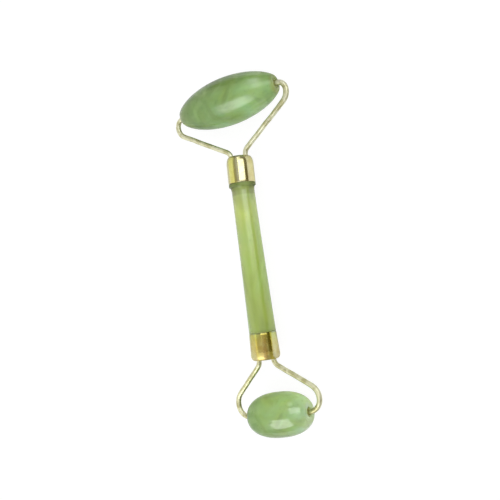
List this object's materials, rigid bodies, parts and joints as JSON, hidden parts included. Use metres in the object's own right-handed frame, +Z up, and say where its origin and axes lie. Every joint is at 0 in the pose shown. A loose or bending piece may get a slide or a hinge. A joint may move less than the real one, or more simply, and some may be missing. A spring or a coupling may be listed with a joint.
{
  "type": "jade face roller",
  "caption": "Double-ended face massage roller: a stone handle with a long oval stone turning in a wire yoke at one end and a short barrel stone at the other.",
  "frame": {"origin": "middle of the footprint, on the surface that the two stones rest on", "axes": "+X along the handle towards the large stone, +Y along the roller axes to the left, +Z up"},
  "size_m": [0.1438, 0.0536, 0.0191],
  "materials": {
    "handle_jade": "polished translucent yellow-green stone",
    "large_stone_jade": "polished cloudy green stone",
    "small_stone_jade": "polished cloudy pale green stone",
    "ferrule_brass": "polished",
    "yoke_gilt": "polished pale gold plating",
    "sleeve_nylon": "natural nylon",
    "anchor_resin": "set casting resin"
  },
  "bodies": {
    "handle": {"handle": "handle_jade", "large_ferrule": "ferrule_brass", "small_ferrule": "ferrule_brass", "large_yoke_wire": "yoke_gilt", "small_yoke_wire": "yoke_gilt", "large_anchor_resin": "anchor_resin", "small_anchor_resin": "anchor_resin"},
    "large_roller": {"large_roller_stone": "large_stone_jade", "large_left_sleeve": "sleeve_nylon", "large_right_sleeve": "sleeve_nylon"},
    "small_roller": {"small_roller_stone": "small_stone_jade", "small_left_sleeve": "sleeve_nylon", "small_right_sleeve": "sleeve_nylon"}
  },
  "joints": [
    {"name": "large_roller_spin", "type": "hinge", "parent": "handle", "child": "large_roller", "pos_m": [0.06216, 0.00028, 0.00955], "axis": [-0.0785, 0.9969, -0.0005], "continuous": true},
    {"name": "small_roller_spin", "type": "hinge", "parent": "handle", "child": "small_roller", "pos_m": [-0.06302, -0.00368, 0.0088], "axis": [-0.0419, 0.9991, -0.0003], "continuous": true}
  ]
}
